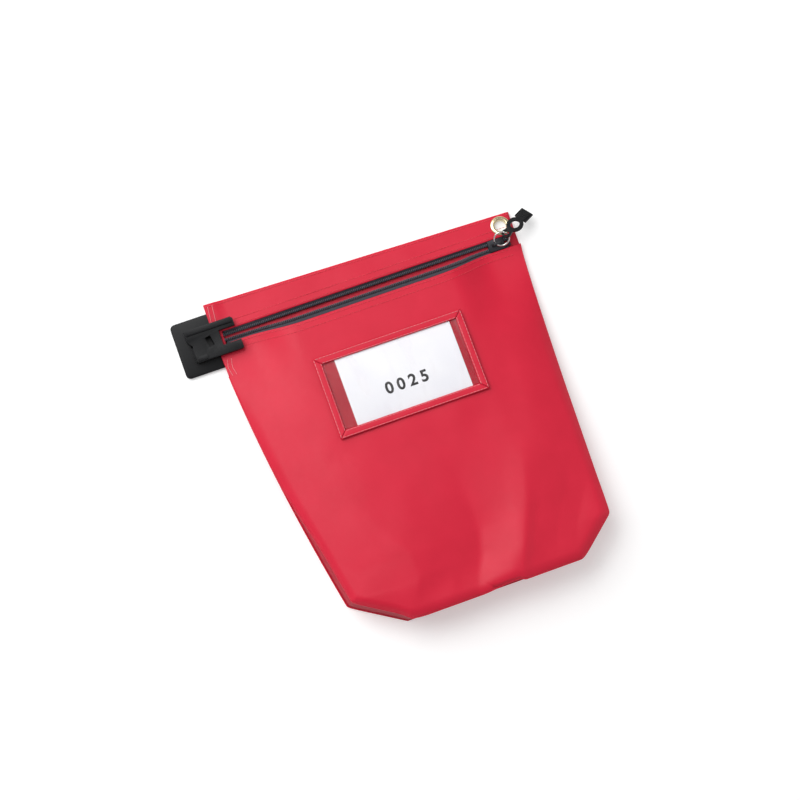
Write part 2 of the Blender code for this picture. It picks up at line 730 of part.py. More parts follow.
def build_window():
    plane = window_frame()
    half_w = WINDOW_WIDTH / 2
    half_h = WINDOW_HEIGHT / 2
    card_low = GAP + 0.0001
    film_low = card_low + CARD + GAP
    border_low = film_low + FILM + GAP

    card_x, card_y = CARD_OFFSET
    card_bm = block(
        card_x - CARD_WIDTH / 2,
        card_x + CARD_WIDTH / 2,
        card_y - CARD_HEIGHT / 2,
        card_y + CARD_HEIGHT / 2,
        card_low,
        card_low + CARD,
    )
    add_object("label_card", card_bm, "white_card", parent=plane)
    film_w = half_w - FILM_INSET
    film_h = half_h - FILM_INSET
    film_bm = block(-film_w, film_w, -film_h, film_h, film_low, film_low + FILM)
    add_object("window_film", film_bm, "clear_film", parent=plane)

    for name, turn, length, reach in (
        ("window_border_top", 0, half_w, half_h),
        ("window_border_right", -90, half_h, half_w),
        ("window_border_bottom", 180, half_w, half_h),
        ("window_border_left", 90, half_h, half_w),
    ):
        outline = [
            (-length + GAP, reach),
            (length - GAP, reach),
            (length - BORDER - GAP, reach - BORDER),
            (-length + BORDER + GAP, reach - BORDER),
        ]
        strip_bm = extruded(outline, border_low, border_low + FABRIC)
        strip = add_object(name, strip_bm, "red_fabric", parent=plane)
        strip.rotation_euler = (0, 0, math.radians(turn))


clear_scene()
build_back_panel()
build_front_panel()
build_base_gusset()
build_header_facing()
build_eyelet()
build_eyelet_washer()
build_zip_tapes()
build_zip_chains()
build_zip_stops()
build_slider_group()
build_seal_plate()
build_seal_housing()
build_window()
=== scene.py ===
"""Looks for a cash deposit bag: red coated fabric, a coil zip with its slider, ring and
puller, a moulded seal housing, a brass eyelet and a label window. The bag lies on its back,
X along the zip, Y towards the header, Z out of the front. Lengths are in metres."""

import math

import bmesh
import bpy
import numpy as np
from mathutils import Matrix, Vector, noise
from mathutils.bvhtree import BVHTree
from mathutils.kdtree import KDTree


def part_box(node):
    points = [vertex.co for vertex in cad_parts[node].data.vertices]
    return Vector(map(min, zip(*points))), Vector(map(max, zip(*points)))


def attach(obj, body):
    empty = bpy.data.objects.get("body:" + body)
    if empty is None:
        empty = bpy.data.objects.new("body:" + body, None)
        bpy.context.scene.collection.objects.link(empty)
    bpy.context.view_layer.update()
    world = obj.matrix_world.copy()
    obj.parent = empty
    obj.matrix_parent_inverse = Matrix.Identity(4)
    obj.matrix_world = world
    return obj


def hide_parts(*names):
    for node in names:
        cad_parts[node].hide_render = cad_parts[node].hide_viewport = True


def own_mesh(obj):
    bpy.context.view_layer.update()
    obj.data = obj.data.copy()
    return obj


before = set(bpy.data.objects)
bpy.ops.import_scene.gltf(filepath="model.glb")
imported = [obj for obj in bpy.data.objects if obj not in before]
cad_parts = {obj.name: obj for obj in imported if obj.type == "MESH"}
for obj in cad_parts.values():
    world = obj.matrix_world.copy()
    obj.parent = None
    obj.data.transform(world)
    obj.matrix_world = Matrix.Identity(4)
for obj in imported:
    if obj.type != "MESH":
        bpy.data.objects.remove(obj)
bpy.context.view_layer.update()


# Studio. A pale floor, one large soft light to the bag's left and weak light all round, and a
# long lens above the bag, a little to the left of it and below it.

sweep_mesh = bpy.data.meshes.new("floor")
sweep_half = 4
sweep_ways = ((-1, -1), (1, -1), (1, 1), (-1, 1))
sweep_corners = [(x * sweep_half, y * sweep_half, 0) for x, y in sweep_ways]
sweep_mesh.from_pydata(sweep_corners, [], [(0, 1, 2, 3)])
floor = bpy.data.objects.new("floor", sweep_mesh)
floor.location.z = -0.0004
bpy.context.scene.collection.objects.link(floor)
pale = bpy.data.materials.new("studio_floor")
pale.use_nodes = True
floor_shader = pale.node_tree.nodes["Principled BSDF"].inputs
floor_shader["Base Color"].default_value = (0.80, 0.80, 0.80, 1)
floor_shader["Emission Color"].default_value = (1, 1, 1, 1)
floor_shader["Emission Strength"].default_value = 0.28
floor_shader["Roughness"].default_value = 0.8
sweep_mesh.materials.append(pale)

camera_eye = Vector((-0.18920, -0.12303, 1.63809))
camera_aim = Vector((0.11090, 0.08821, -0.98991))
camera_up = Vector((0.32579, 0.93779, 0.12006))
camera = bpy.data.objects.new("camera", bpy.data.cameras.new("camera"))
side = camera_aim.cross(camera_up).normalized()
upright = side.cross(camera_aim).normalized()
camera.matrix_world = Matrix.Translation(camera_eye) @ Matrix(
    (side, upright, -camera_aim.normalized())
).transposed().to_4x4()
camera.data.sensor_width = 36
camera.data.lens = 90
camera.data.clip_end = 50
bpy.context.scene.collection.objects.link(camera)
bpy.context.scene.camera = camera

for name, place, size, watts in (
    ("key_light", (-0.9, 1.2, 1.3), 1.9, 33),
    ("fill_light", (1.5, -0.4, 1.3), 1.6, 4),
    ("top_light", (-0.45, 0.75, 1.8), 1.1, 10),
):
    lamp = bpy.data.objects.new(name, bpy.data.lights.new(name, "AREA"))
    lamp.data.size = size
    lamp.data.energy = watts
    lamp.location = place
    lamp.rotation_euler = (-Vector(place)).to_track_quat("-Z", "Y").to_euler()
    bpy.context.scene.collection.objects.link(lamp)

studio = bpy.data.worlds.new("studio")
studio.use_nodes = True
sky = studio.node_tree.nodes["Background"].inputs
sky["Color"].default_value = (1.0, 1.0, 1.0, 1)
sky["Strength"].default_value = 0.42
bpy.context.scene.world = studio
bpy.context.scene.view_settings.view_transform = "Standard"


# Front panel. Polyester cloth coated with red PVC, cut in one piece with its lower corners
# taken off. It is sewn to the gusset round three sides and to the zip along its upper edge,
# and it keeps the soft folds of a bag that has been carried flat and then opened.


class Wire:
    """A shader value. Arithmetic on it adds Math nodes to its material."""

    def __init__(self, paint, socket):
        self.paint = paint
        self.socket = socket

    def math(self, operation, first, second):
        values = {0: first, 1: second}
        return self.paint.add("ShaderNodeMath", {"operation": operation}, values)[0]

    def __add__(self, other):
        return self.math("ADD", self, other)

    def __sub__(self, other):
        return self.math("SUBTRACT", self, other)

    def __rsub__(self, other):
        return self.math("SUBTRACT", other, self)

    def __mul__(self, other):
        return self.math("MULTIPLY", self, other)

    def __pow__(self, other):
        return self.math("POWER", self, other)

    __radd__ = __add__
    __rmul__ = __mul__


class Paint:
    """A material that is being put together."""

    def __init__(self, name, colour, roughness, metallic=0.0):
        self.material = bpy.data.materials.new(name)
        self.material.use_nodes = True
        self.tree = self.material.node_tree
        self.shader = self.tree.nodes["Principled BSDF"]
        self.feed(self.shader, {"Roughness": roughness, "Metallic": metallic})
        if not isinstance(colour, Wire):
            self.feed(self.shader, {"Base Color": (*colour, 1)})

    def feed(self, node, values):
        """Links a node's sockets, or sets them."""
        for key, value in values.items():
            if isinstance(value, Wire):
                self.tree.links.new(value.socket, node.inputs[key])
            else:
                node.inputs[key].default_value = value

    def add(self, kind, settings=None, values=None):
        """Adds a node, sets its settings and then its sockets, and returns its outputs."""
        node = self.tree.nodes.new(kind)
        for key, value in (settings or {}).items():
            if key == "stops":
                for stop, (position, shade) in zip(node.color_ramp.elements, value):
                    stop.position = position
                    stop.color = (shade, shade, shade, 1)
            else:
                setattr(node, key, value)
        self.feed(node, values or {})
        return [Wire(self, socket) for socket in node.outputs if socket.enabled]

    def place(self, scale=(1, 1, 1), turn=(0, 0, 0)):
        """The piece's own coordinates, in metres times the scale."""
        raw = self.add("ShaderNodeTexCoord")[3]
        values = {"Vector": raw, "Scale": scale, "Rotation": turn}
        return self.add("ShaderNodeMapping", None, values)[0]

    def cloud(self, scale, detail=2.0, stretch=(1, 1, 1)):
        """A soft mottle."""
        values = {"Vector": self.place(stretch), "Scale": scale, "Detail": detail}
        return self.add("ShaderNodeTexNoise", None, values)[0]

    def waves(self, pitch, turn=0.0):
        """Parallel ridges at a pitch, as yarns lie in a cloth."""
        radians_per_unit = 20
        settings = {"wave_type": "BANDS", "bands_direction": "X", "wave_profile": "SIN"}
        scale = math.tau / pitch / radians_per_unit
        values = {"Vector": self.place(turn=(0, 0, turn)), "Scale": scale, "Distortion": 0.0}
        return self.add("ShaderNodeTexWave", settings, values)[1]

    def between(self, share, low, high):
        """A colour between two colours."""
        values = {0: share, 6: (*low, 1), 7: (*high, 1)}
        return self.add("ShaderNodeMix", {"data_type": "RGBA"}, values)[0]

    def relief(self, height, depth):
        """Bumps of a depth in metres."""
        values = {"Height": height, "Distance": depth, "Strength": 1.0}
        self.feed(self.shader, {"Normal": self.add("ShaderNodeBump", None, values)[0]})


yarn_pitch = 0.0011


def coated_fabric(name, low, high, roughness):
    """PVC on woven cloth: the yarns show through the skin as a faint grid under a fine grain."""
    paint = Paint(name, (1, 0, 0), roughness)
    tone = paint.cloud(38, 3.0)
    paint.feed(paint.shader, {"Base Color": paint.between(tone, low, high)})
    grain = paint.cloud(2600, 2.0)
    yarns = paint.waves(yarn_pitch) + paint.waves(yarn_pitch, math.radians(90))
    paint.relief(grain * 0.6 + yarns * 0.3, 0.00006)
    paint.feed(paint.shader, {
        "Roughness": roughness + (paint.cloud(300, 2.0) - 0.5) * 0.14,
        "Coat Weight": 0.05,
        "Coat Roughness": 0.35,
        "Specular IOR Level": 0.30,
    })
    return paint.material


red_fabric = coated_fabric(
    "red_coated_fabric", (0.555, 0.006, 0.029), (0.645, 0.010, 0.040), 0.50
)


def as_object(name, mesh, *materials, smooth=True):
    """Puts a mesh into the scene."""
    piece = bpy.data.objects.new(name, mesh)
    for material in materials:
        mesh.materials.append(material)
    if smooth:
        mesh.shade_smooth()
    bpy.context.scene.collection.objects.link(piece)
    return piece


def mesh_of(name, bm):
    """Turns a bmesh into a mesh and frees it."""
    mesh = bpy.data.meshes.new(name)
    bm.to_mesh(mesh)
    bm.free()
    return mesh


def merged_copy(node):
    """A bmesh of a node with its loose triangles joined up."""
    bm = bmesh.new()
    bm.from_mesh(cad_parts[node].data)
    bmesh.ops.remove_doubles(bm, verts=bm.verts, dist=0.000002)
    return bm


def finished(piece):
    """Turns a piece's live modifiers into its own mesh."""
    mesh = bpy.data.meshes.new_from_object(
        piece.evaluated_get(bpy.context.evaluated_depsgraph_get())
    )
    piece.modifiers.clear()
    piece.data = mesh
    return piece


def upper_sheet(node, name, level):
    """The upper face of a thin node as a fine open sheet that keeps the node's edges."""
    bm = merged_copy(node)
    bm.normal_update()
    turned_away = [f for f in bm.faces if f.normal.z < 0.25]
    bmesh.ops.delete(bm, geom=turned_away, context="FACES")
    bmesh.ops.join_triangles(
        bm, faces=bm.faces, angle_face_threshold=3, angle_shape_threshold=3
    )
    crease = bm.edges.layers.float.new("crease_edge")
    for edge in bm.edges:
        if edge.is_boundary:
            edge[crease] = 1.0
    piece = as_object(name, mesh_of(name, bm))
    fine = piece.modifiers.new("fine", "SUBSURF")
    fine.levels = fine.render_levels = level
    return finished(piece)


def thickened(piece, thickness, offset=-1):
    """Gives a sheet its real thickness, below its upper face."""
    wall = piece.modifiers.new("thickness", "SOLIDIFY")
    wall.thickness = thickness
    wall.offset = offset
    wall.use_even_offset = True
    return finished(piece)


def points_of(piece):
    """The piece's points, one row each."""
    found = np.empty(len(piece.data.vertices) * 3, np.float32)
    piece.data.vertices.foreach_get("co", found)
    return found.reshape(-1, 3).astype(float)


def set_points(piece, points):
    """Moves the piece's points."""
    piece.data.vertices.foreach_set("co", points.astype(np.float32).ravel())
    piece.data.update()


def ease(value):
    """A smooth step from 0 to 1 as the value goes from 0 to 1."""
    value = np.clip(value, 0.0, 1.0)
    return value * value * (3 - 2 * value)


def smoothed(points, step):
    """Evenly spaced points on a line through others."""
    found = [Vector(points[0])]
    for start, end in zip(points, points[1:]):
        parts = max(1, round((end - start).length / step))
        found += [start.lerp(end, i / parts) for i in range(1, parts + 1)]
    return found


fabric_thick = 0.0007
window_low, window_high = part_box("window_film")
front = upper_sheet("front_panel", "front_panel_skin", 3)
front_low, front_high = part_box("front_panel")
front_points = points_of(front)
px, py = front_points[:, 0], front_points[:, 1]
down = (front_high.y - py) / (front_high.y - front_low.y)


# The outline, from the right end of the lip round the base to the left end.
edge_bm = bmesh.new()
edge_bm.from_mesh(front.data)
neighbours = {}
for edge in edge_bm.edges:
    if edge.is_boundary:
        for vertex, other in (edge.verts, reversed(edge.verts)):
            neighbours.setdefault(vertex.index, []).append(other.index)
edge_bm.free()
first = max(neighbours, key=lambda i: px[i] + 2 * py[i])
outline = [first, min(neighbours[first], key=lambda i: py[i])]
while outline[-1] != first:
    outline.append(next(i for i in neighbours[outline[-1]] if i != outline[-2]))
gusset_tail = 0.022
gusset_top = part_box("base_gusset")[1].y - gusset_tail
outline_stop = next(n for n, i in enumerate(outline) if px[i] < 0 and py[i] > gusset_top)
sewn = outline[:outline_stop]
flat_edge = [Vector(front_points[i]) for i in sewn]
fine_edge = smoothed(flat_edge, 0.001)
edge_finder = KDTree(len(fine_edge))
for number, point in enumerate(fine_edge):
    edge_finder.insert(point, number)
edge_finder.balance()
edge_gap = np.array([edge_finder.find(Vector(spot))[2] for spot in front_points])


def mottled(scale_x, scale_y, layer):
    """One value of a smooth random field at each of the panel's points."""
    spots = (Vector((x * scale_x, y * scale_y, layer)) for x, y in zip(px, py))
    return np.array([noise.noise(spot) for spot in spots])


# The folds fade out towards the sewn edges, the lip and the window.
edge_room = ease(edge_gap / 0.045)
lip_room = ease(down / 0.25)
under_window = ease((window_low.y - py) / 0.030)
beside_window = ease((abs(px) - window_high.x) / 0.030)
free = np.maximum(under_window, beside_window * lip_room)

# One long fold runs down to the base: a broad valley, a flank that rises to the right, and a
# sharp fall on its far side.
valley_x = np.interp(
    -py, (0.04, 0.07, 0.10, 0.12, 0.15), (0.016, 0.015, 0.016, 0.011, -0.003)
)
crest_x = np.interp(-py, (0.04, 0.09, 0.15), (0.075, 0.060, 0.034))
across = (px - valley_x) / (crest_x - valley_x)
knots = (-2.6, -1.5, -0.7, 0.0, 0.8, 1.0, 1.25, 1.8, 2.3, 3.0)
levels = (0.0, 0.45, -0.35, -1.0, 0.70, 0.90, 0.35, -0.25, -0.45, 0.0)
fine = np.linspace(-3, 3, 601)
blur = np.exp(-(np.linspace(-2.5, 2.5, 31) ** 2))
profile = np.convolve(np.interp(fine, knots, levels), blur / blur.sum(), "same")
grow = ease((-0.022 - py) / 0.085)
base_room = 0.45 + 0.55 * ease((1 - down) / 0.10)
fold_height = 0.0052
fold = np.interp(across, fine, profile) * fold_height * grow * base_room
reaches_base = ease((0.05 - abs(px - 0.02)) / 0.02)
fold *= 0.25 + 0.75 * np.maximum(ease(edge_gap / 0.03), reaches_base)
soft_height = 0.0034
small_height = 0.00035
soft = mottled(14, 11, 3.7) * soft_height
small = mottled(45, 32, 9.1) * small_height
front_points[:, 2] += fold + (soft * free + small * lip_room) * edge_room

# The panel turns down as it comes to the seam.
roll_width = 0.009
roll_depth = 0.0030
roll = np.clip(1 - edge_gap / roll_width, 0, 1) ** 2
front_points[:, 2] -= roll_depth * roll * np.clip((front_points[:, 2] - 0.006) / 0.012, 0, 1)

# At the lower left it is drawn in, so the gusset shows beside it from above.
draw = 0.0042
draw_width = 0.022
draw_way = (0.86, 0.50)
drawn_in = ease((-0.005 - py) / 0.08) * ease((-0.045 - px) / 0.03)
inward = draw * np.clip(1 - edge_gap / draw_width, 0, 1) ** 1.5 * drawn_in
front_points[:, 0] += draw_way[0] * inward
front_points[:, 1] += draw_way[1] * inward

# The open lip rolls back from the tape a little.
lip_back = 0.0016
zip_left, zip_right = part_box("zip_chain_lower")


def lip_share(x):
    """How far the lip rolls back at a place along the zip: not at its ends."""
    from_left = ease((x - zip_left.x - 0.018) / 0.05)
    return from_left * ease((zip_right.x - 0.022 - x) / 0.05)


front_points[:, 1] -= lip_back * lip_share(px) * np.clip(1 - down / 0.12, 0, 1)

# The base edge steps where the fold reaches it.
base_step = 0.0020
step = ease((px - 0.000) / 0.026) * ease((0.038 - px) / 0.005)
front_points[:, 1] += base_step * step * ease((down - 0.90) / 0.10)
set_points(front, front_points)
front.data.materials.append(red_fabric)
front_tree = BVHTree.FromObject(front, bpy.context.evaluated_depsgraph_get())


def on_front(x, y, lift=0.0):
    """The point on the front panel's upper face over a plan position."""
    hit = front_tree.ray_cast(Vector((x, y, 1)), Vector((0, 0, -1)))[0]
    if hit is None:
        hit = front_tree.find_nearest(Vector((x, y, front_high.z)))[0]
    return Vector((x, y, hit.z + lift))


# Stitching. Bonded polyester thread, two rows beside the zip and short zigzag bar tacks at the
# left edge. Each stitch is one small arched shape, laid along its row by Geometry Nodes.


def paint_only(name, colour, roughness, metallic=0.0, grain=(900, 0.00002)):
    """A finish with a slight mottle and a fine grain."""
    paint = Paint(name, colour, roughness, metallic)
    darker = tuple(channel * 0.82 for channel in colour)
    mottle = paint.cloud(220, 3.0)
    paint.feed(paint.shader, {"Base Color": paint.between(mottle, darker, colour)})
    paint.relief(paint.cloud(grain[0], 2.0), grain[1])
    paint.feed(paint.shader, {"Roughness": roughness + (paint.cloud(420, 2.0) - 0.5) * 0.12})
    return paint.material


def path_tree():
    """Copies of a shape along a path, each with its X along the path."""
    tree = bpy.data.node_groups.new("copies_along_path", "GeometryNodeTree")
    for name, way, kind in (
        ("Path", "INPUT", "Geometry"),
        ("Shape", "INPUT", "Object"),
        ("Pitch", "INPUT", "Float"),
        ("Size spread", "INPUT", "Float"),
        ("Finish", "INPUT", "Material"),
        ("Copies", "OUTPUT", "Geometry"),
    ):
        tree.interface.new_socket(name, in_out=way, socket_type=f"NodeSocket{kind}")

    def node(kind, **settings):
        made = tree.nodes.new(kind)
        for key, value in settings.items():
            setattr(made, key, value)
        return made

    given = node("NodeGroupInput")
    curve = node("GeometryNodeMeshToCurve")
    evened = node("GeometryNodeResampleCurve")
    evened.mode = "LENGTH"
    tangent = node("GeometryNodeInputTangent")
    aligned = node("FunctionNodeAlignRotationToVector", axis="X", pivot_axis="AUTO")
    shape = node("GeometryNodeObjectInfo")
    shape.inputs["As Instance"].default_value = True
    spread = node("FunctionNodeRandomValue", data_type="FLOAT")
    spread.inputs["Seed"].default_value = 7
    least = node("ShaderNodeMath", operation="SUBTRACT")
    least.inputs[0].default_value = 1.0
    placed = node("GeometryNodeInstanceOnPoints")
    real = node("GeometryNodeRealizeInstances")
    dressed = node("GeometryNodeSetMaterial")
    out = node("NodeGroupOutput")
    link = tree.links.new
    link(given.outputs["Path"], curve.inputs["Mesh"])
    link(curve.outputs["Curve"], evened.inputs["Curve"])
    link(given.outputs["Pitch"], evened.inputs["Length"])
    link(evened.outputs["Curve"], placed.inputs["Points"])
    link(tangent.outputs["Tangent"], aligned.inputs["Vector"])
    link(aligned.outputs["Rotation"], placed.inputs["Rotation"])
    link(given.outputs["Shape"], shape.inputs["Object"])
    link(shape.outputs["Geometry"], placed.inputs["Instance"])
    link(given.outputs["Size spread"], least.inputs[1])
    link(least.outputs["Value"], spread.inputs[2])
    spread.inputs[3].default_value = 1.0
    link(spread.outputs[1], placed.inputs["Scale"])
    link(placed.outputs["Instances"], real.inputs["Geometry"])
    link(real.outputs["Geometry"], dressed.inputs["Geometry"])
    link(given.outputs["Finish"], dressed.inputs["Material"])
    link(dressed.outputs["Geometry"], out.inputs["Copies"])
    return tree


copies_along = path_tree()


def along(name, paths, shape, pitch, finish, spread=0.0):
    """Lays copies of a shape along one or more lists of points, as one plain mesh."""
    mesh = bpy.data.meshes.new(name)
    corners = [tuple(point) for path in paths for point in path]
    links = []
    start = 0
    for path in paths:
        links += [(start + i, start + i + 1) for i in range(len(path) - 1)]
        start += len(path)
    mesh.from_pydata(corners, links, [])
    piece = bpy.data.objects.new(name, mesh)
    bpy.context.scene.collection.objects.link(piece)
    modifier = piece.modifiers.new("copies", "NODES")
    modifier.node_group = copies_along
    values = {"Shape": shape, "Pitch": pitch, "Size spread": spread, "Finish": finish}
    for item in copies_along.interface.items_tree:
        if item.in_out == "INPUT" and item.name in values:
            modifier[item.identifier] = values[item.name]
    finished(piece)
    piece.data.shade_smooth()
    return piece


def join_rings(bm, rings, closed=False):
    """Skins rings of vertices as a tube, with a cap at each end unless it closes on itself."""
    sides = len(rings[0])
    for here, there in [*zip(rings, rings[1:]), *([(rings[-1], rings[0])] if closed else [])]:
        for i in range(sides):
            j = (i + 1) % sides
            bm.faces.new((here[i], here[j], there[j], there[i]))
    if not closed:
        bm.faces.new(rings[0])
        bm.faces.new(rings[-1])
    bmesh.ops.recalc_face_normals(bm, faces=bm.faces)


def tube_mesh(name, points, radius, sides, flat=1.0):
    """A round tube along points; flat squeezes it in Z."""
    bm = bmesh.new()
    rings = []
    for i, point in enumerate(points):
        before = points[max(i - 1, 0)]
        after = points[min(i + 1, len(points) - 1)]
        run = (Vector(after) - Vector(before)).normalized()
        across = run.cross(Vector((0, 0, 1)))
        across = across.normalized() if across.length > 0.02 else Vector((0, 1, 0))
        rise = across.cross(run).normalized() * flat
        ring = []
        for side_number in range(sides):
            turn = math.tau * side_number / sides
            offset = across * math.cos(turn) + rise * math.sin(turn)
            ring.append(bm.verts.new(Vector(point) + offset * radius))
        rings.append(ring)
    join_rings(bm, rings)
    return mesh_of(name, bm)


def hidden_shape(name, mesh):
    """A shape that is only copied."""
    return bpy.data.objects.new(name, mesh)


stitch_long = 0.0024
stitch_pitch = 0.0031
tack_pitch = 0.0026
thread = 0.00021
thread_lift = 0.0001
arc = [(-0.5, -0.5), (-0.34, 0.55), (0, 0.9), (0.34, 0.55), (0.5, -0.5)]
stitch_points = [(x * stitch_long, 0, z * thread) for x, z in arc]
stitch = hidden_shape("stitch", tube_mesh("stitch", stitch_points, thread, 5))
red_thread = paint_only("red_thread", (0.78, 0.055, 0.085), 0.55, grain=(4000, 0.00002))
pale_thread = paint_only("pale_thread", (0.88, 0.30, 0.33), 0.6, grain=(4000, 0.00002))

zip_spine = {}
for node in ("zip_chain_upper", "zip_chain_lower"):
    stations = {}
    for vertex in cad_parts[node].data.vertices:
        stations.setdefault(round(vertex.co.x, 6), []).append(vertex.co)
    zip_spine[node] = [sum(stations[x], Vector()) / len(stations[x]) for x in sorted(stations)]


def lip_row(back, x_from, x_to):
    """A line on the front panel that keeps its distance from the lip's edge."""
    to_edge = 0.0030
    found = []
    for p in smoothed(zip_spine["zip_chain_lower"], 0.003):
        if x_from <= p.x <= x_to:
            y = p.y - to_edge - back - lip_back * lip_share(p.x)
            found.append(on_front(p.x, y, thread_lift))
    return found


row_start = -0.112
row_end = 0.128
row_backs = (0.0018, 0.0068)
front_rows = [lip_row(back_from, row_start, row_end) for back_from in row_backs]
sewn_edge = [Vector(front_points[i]) for i in sewn]


def inset(points, distance, lower=0.0):
    """A line at a distance inside the sewn edge."""
    found = []
    for i, point in enumerate(points):
        run = (points[min(i + 3, len(points) - 1)] - points[max(i - 3, 0)]).xy
        inward = Vector((run.y, -run.x, 0)).normalized()
        found.append(point + inward * distance - Vector((0, 0, lower)))
    return found


# Two short zigzag rows hold the panel's corner below the seal housing.
zigzag = 0.0006
tacks = [
    [on_front(x + zigzag * (-1) ** n, 0.0875 + 0.0015 * n, thread_lift) for n in range(9)]
    for x in (-0.1303, -0.1268)
]
front_stitches = along("front_panel_stitches", front_rows, stitch, stitch_pitch, red_thread)
panel_tacks = along("panel_bar_tacks", tacks, stitch, tack_pitch, pale_thread)
thickened(front, fabric_thick)


def closes_with_zip(piece):
    """Gives the piece its own copy of its mesh."""
    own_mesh(piece)


for piece in (front, front_stitches, panel_tacks):
    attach(piece, "bag")
    closes_with_zip(piece)
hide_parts("front_panel")


# Gusset. One strip of the same fabric, sewn between the front and back panels round both sides
# and the base. It folds inwards, and a turned seam stands proud along its upper edge.

fold_in = 0.0035
inside = 0.0006
above_back = 0.0004
inner_edge = inset(sewn_edge, inside, fabric_thick + 0.0003)
last = len(inner_edge) - 1
steps_down = 8
bm = bmesh.new()
rows = []
for number, point in enumerate(inner_edge):
    run = (inner_edge[min(number + 2, last)] - inner_edge[max(number - 2, 0)]).xy
    inward = Vector((run.y, -run.x, 0)).normalized()
    bottom = flat_edge[number].copy() + inward * inside
    bottom.z = fabric_thick + above_back
    tall = max(point.z - bottom.z, above_back)
    wobble = 1 + 0.5 * noise.noise(Vector((number * 0.06, 2.0, 0.5)))
    row = []
    for step in range(steps_down + 1):
        share = step / steps_down
        tuck = fold_in * wobble * min(tall / 0.02, 1) * math.sin(math.pi * share) ** 1.3
        row.append(bm.verts.new(point.lerp(bottom, share) + inward * tuck))
    rows.append(row)
for here, there in zip(rows, rows[1:]):
    for step in range(steps_down):
        bm.faces.new((here[step], there[step], there[step + 1], here[step + 1]))
# The gusset is the panel's red fabric. Its darker red is painted shade for the strip that lies in
# shadow under the panel's edge.
shaded_gusset_fabric = coated_fabric(
    "shaded_gusset_fabric", (0.38, 0.007, 0.022), (0.50, 0.012, 0.034), 0.46
)
gusset = as_object("base_gusset_skin", mesh_of("base_gusset_skin", bm), shaded_gusset_fabric)
thickened(gusset, fabric_thick, 0)
seam_inset = 0.0002
seam_line = inset(sewn_edge, seam_inset, 0.0006)
seam_mesh = tube_mesh("gusset_seam", seam_line, 0.0009, 8, flat=0.8)
seam = as_object("gusset_seam", seam_mesh, red_fabric)
low_line = [Vector((p.x, p.y, fabric_thick + 0.0006)) for p in inset(flat_edge, seam_inset)]
low_seam = as_object("back_seam", tube_mesh("back_seam", low_line, 0.0006, 6), red_fabric)
for piece in (gusset, seam, low_seam):
    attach(piece, "bag")
    closes_with_zip(piece)
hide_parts("base_gusset")


# Back panel and header. The back runs the bag's full height, and its top 31 mm is the header:
# a second layer faces it there, sewn along the top edge and beside the zip.

back_low, back_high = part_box("back_panel")
facing_low, facing_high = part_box("header_facing")
header_fall = 0.007
eyelet_low, eyelet_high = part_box("eyelet")
eyelet_middle = (eyelet_low + eyelet_high) / 2


def node_tree_of(node):
    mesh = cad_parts[node].data
    corners = [v.co for v in mesh.vertices]
    return BVHTree.FromPolygons(corners, [p.vertices[:] for p in mesh.polygons])


def header_edge(x):
    """The header's upper edge, which falls a little towards the right."""
    return back_high.y - header_fall * (x - back_low.x) / (back_high.x - back_low.x)


def grid_sheet(name, columns, rows, place):
    """A sheet over a grid, from a function of the shares across and down."""
    bm = bmesh.new()
    grid = [
        [bm.verts.new(place(i / columns, j / rows)) for i in range(columns + 1)]
        for j in range(rows + 1)
    ]
    for j in range(rows):
        for i in range(columns):
            bm.faces.new((grid[j][i], grid[j + 1][i], grid[j + 1][i + 1], grid[j][i + 1]))
    return as_object(name, mesh_of(name, bm))


facing_tree = node_tree_of("header_facing")


def on_facing(x, y, lift=0.0):
    """The point on the facing's upper face over a plan position."""
    hit = facing_tree.ray_cast(Vector((x, y, 1)), Vector((0, 0, -1)))[0]
    if hit is None:
        hit = facing_tree.find_nearest(Vector((x, y, facing_high.z)))[0]
    return Vector((x, y, hit.z + lift))


flange_half = 0.0078


def facing_point(u, t):
    """The facing ripples a little, and lies flat round the eyelet."""
    x = facing_low.x + (facing_high.x - facing_low.x) * u
    y = header_edge(x) + (facing_low.y - header_edge(x)) * t
    from_eyelet = math.hypot(x - eyelet_middle.x, y - eyelet_middle.y)
    soft_lift = noise.noise(Vector((x * 40, y * 30, 1.3))) * 0.00035
    soft_lift *= min(math.sin(math.pi * t) * 1.4, 1) * min(max(from_eyelet / 0.011 - 1, 0), 1)
    spot = on_facing(x, y)
    if from_eyelet < 0.0075:
        above = on_facing(x, eyelet_middle.y + flange_half).z
        below = on_facing(x, eyelet_middle.y - flange_half).z
        share = (y - eyelet_middle.y + flange_half) / (2 * flange_half)
        spot.z = below + (above - below) * share
    return spot + Vector((0, 0, soft_lift))


facing = grid_sheet("header_facing_skin", 180, 20, facing_point)
facing.data.materials.append(red_fabric)
thickened(facing, fabric_thick)


def eyelet_hole(piece, radius):
    """Cuts the hanging hole through a layer."""
    bpy.ops.mesh.primitive_cylinder_add(vertices=48, radius=radius, depth=0.03)
    cutter = bpy.context.object
    cutter.location = eyelet_middle
    cut = piece.modifiers.new("hole", "BOOLEAN")
    cut.object = cutter
    cut.solver = "EXACT"
    bpy.context.view_layer.update()
    finished(piece)
    bpy.data.objects.remove(cutter, do_unlink=True)


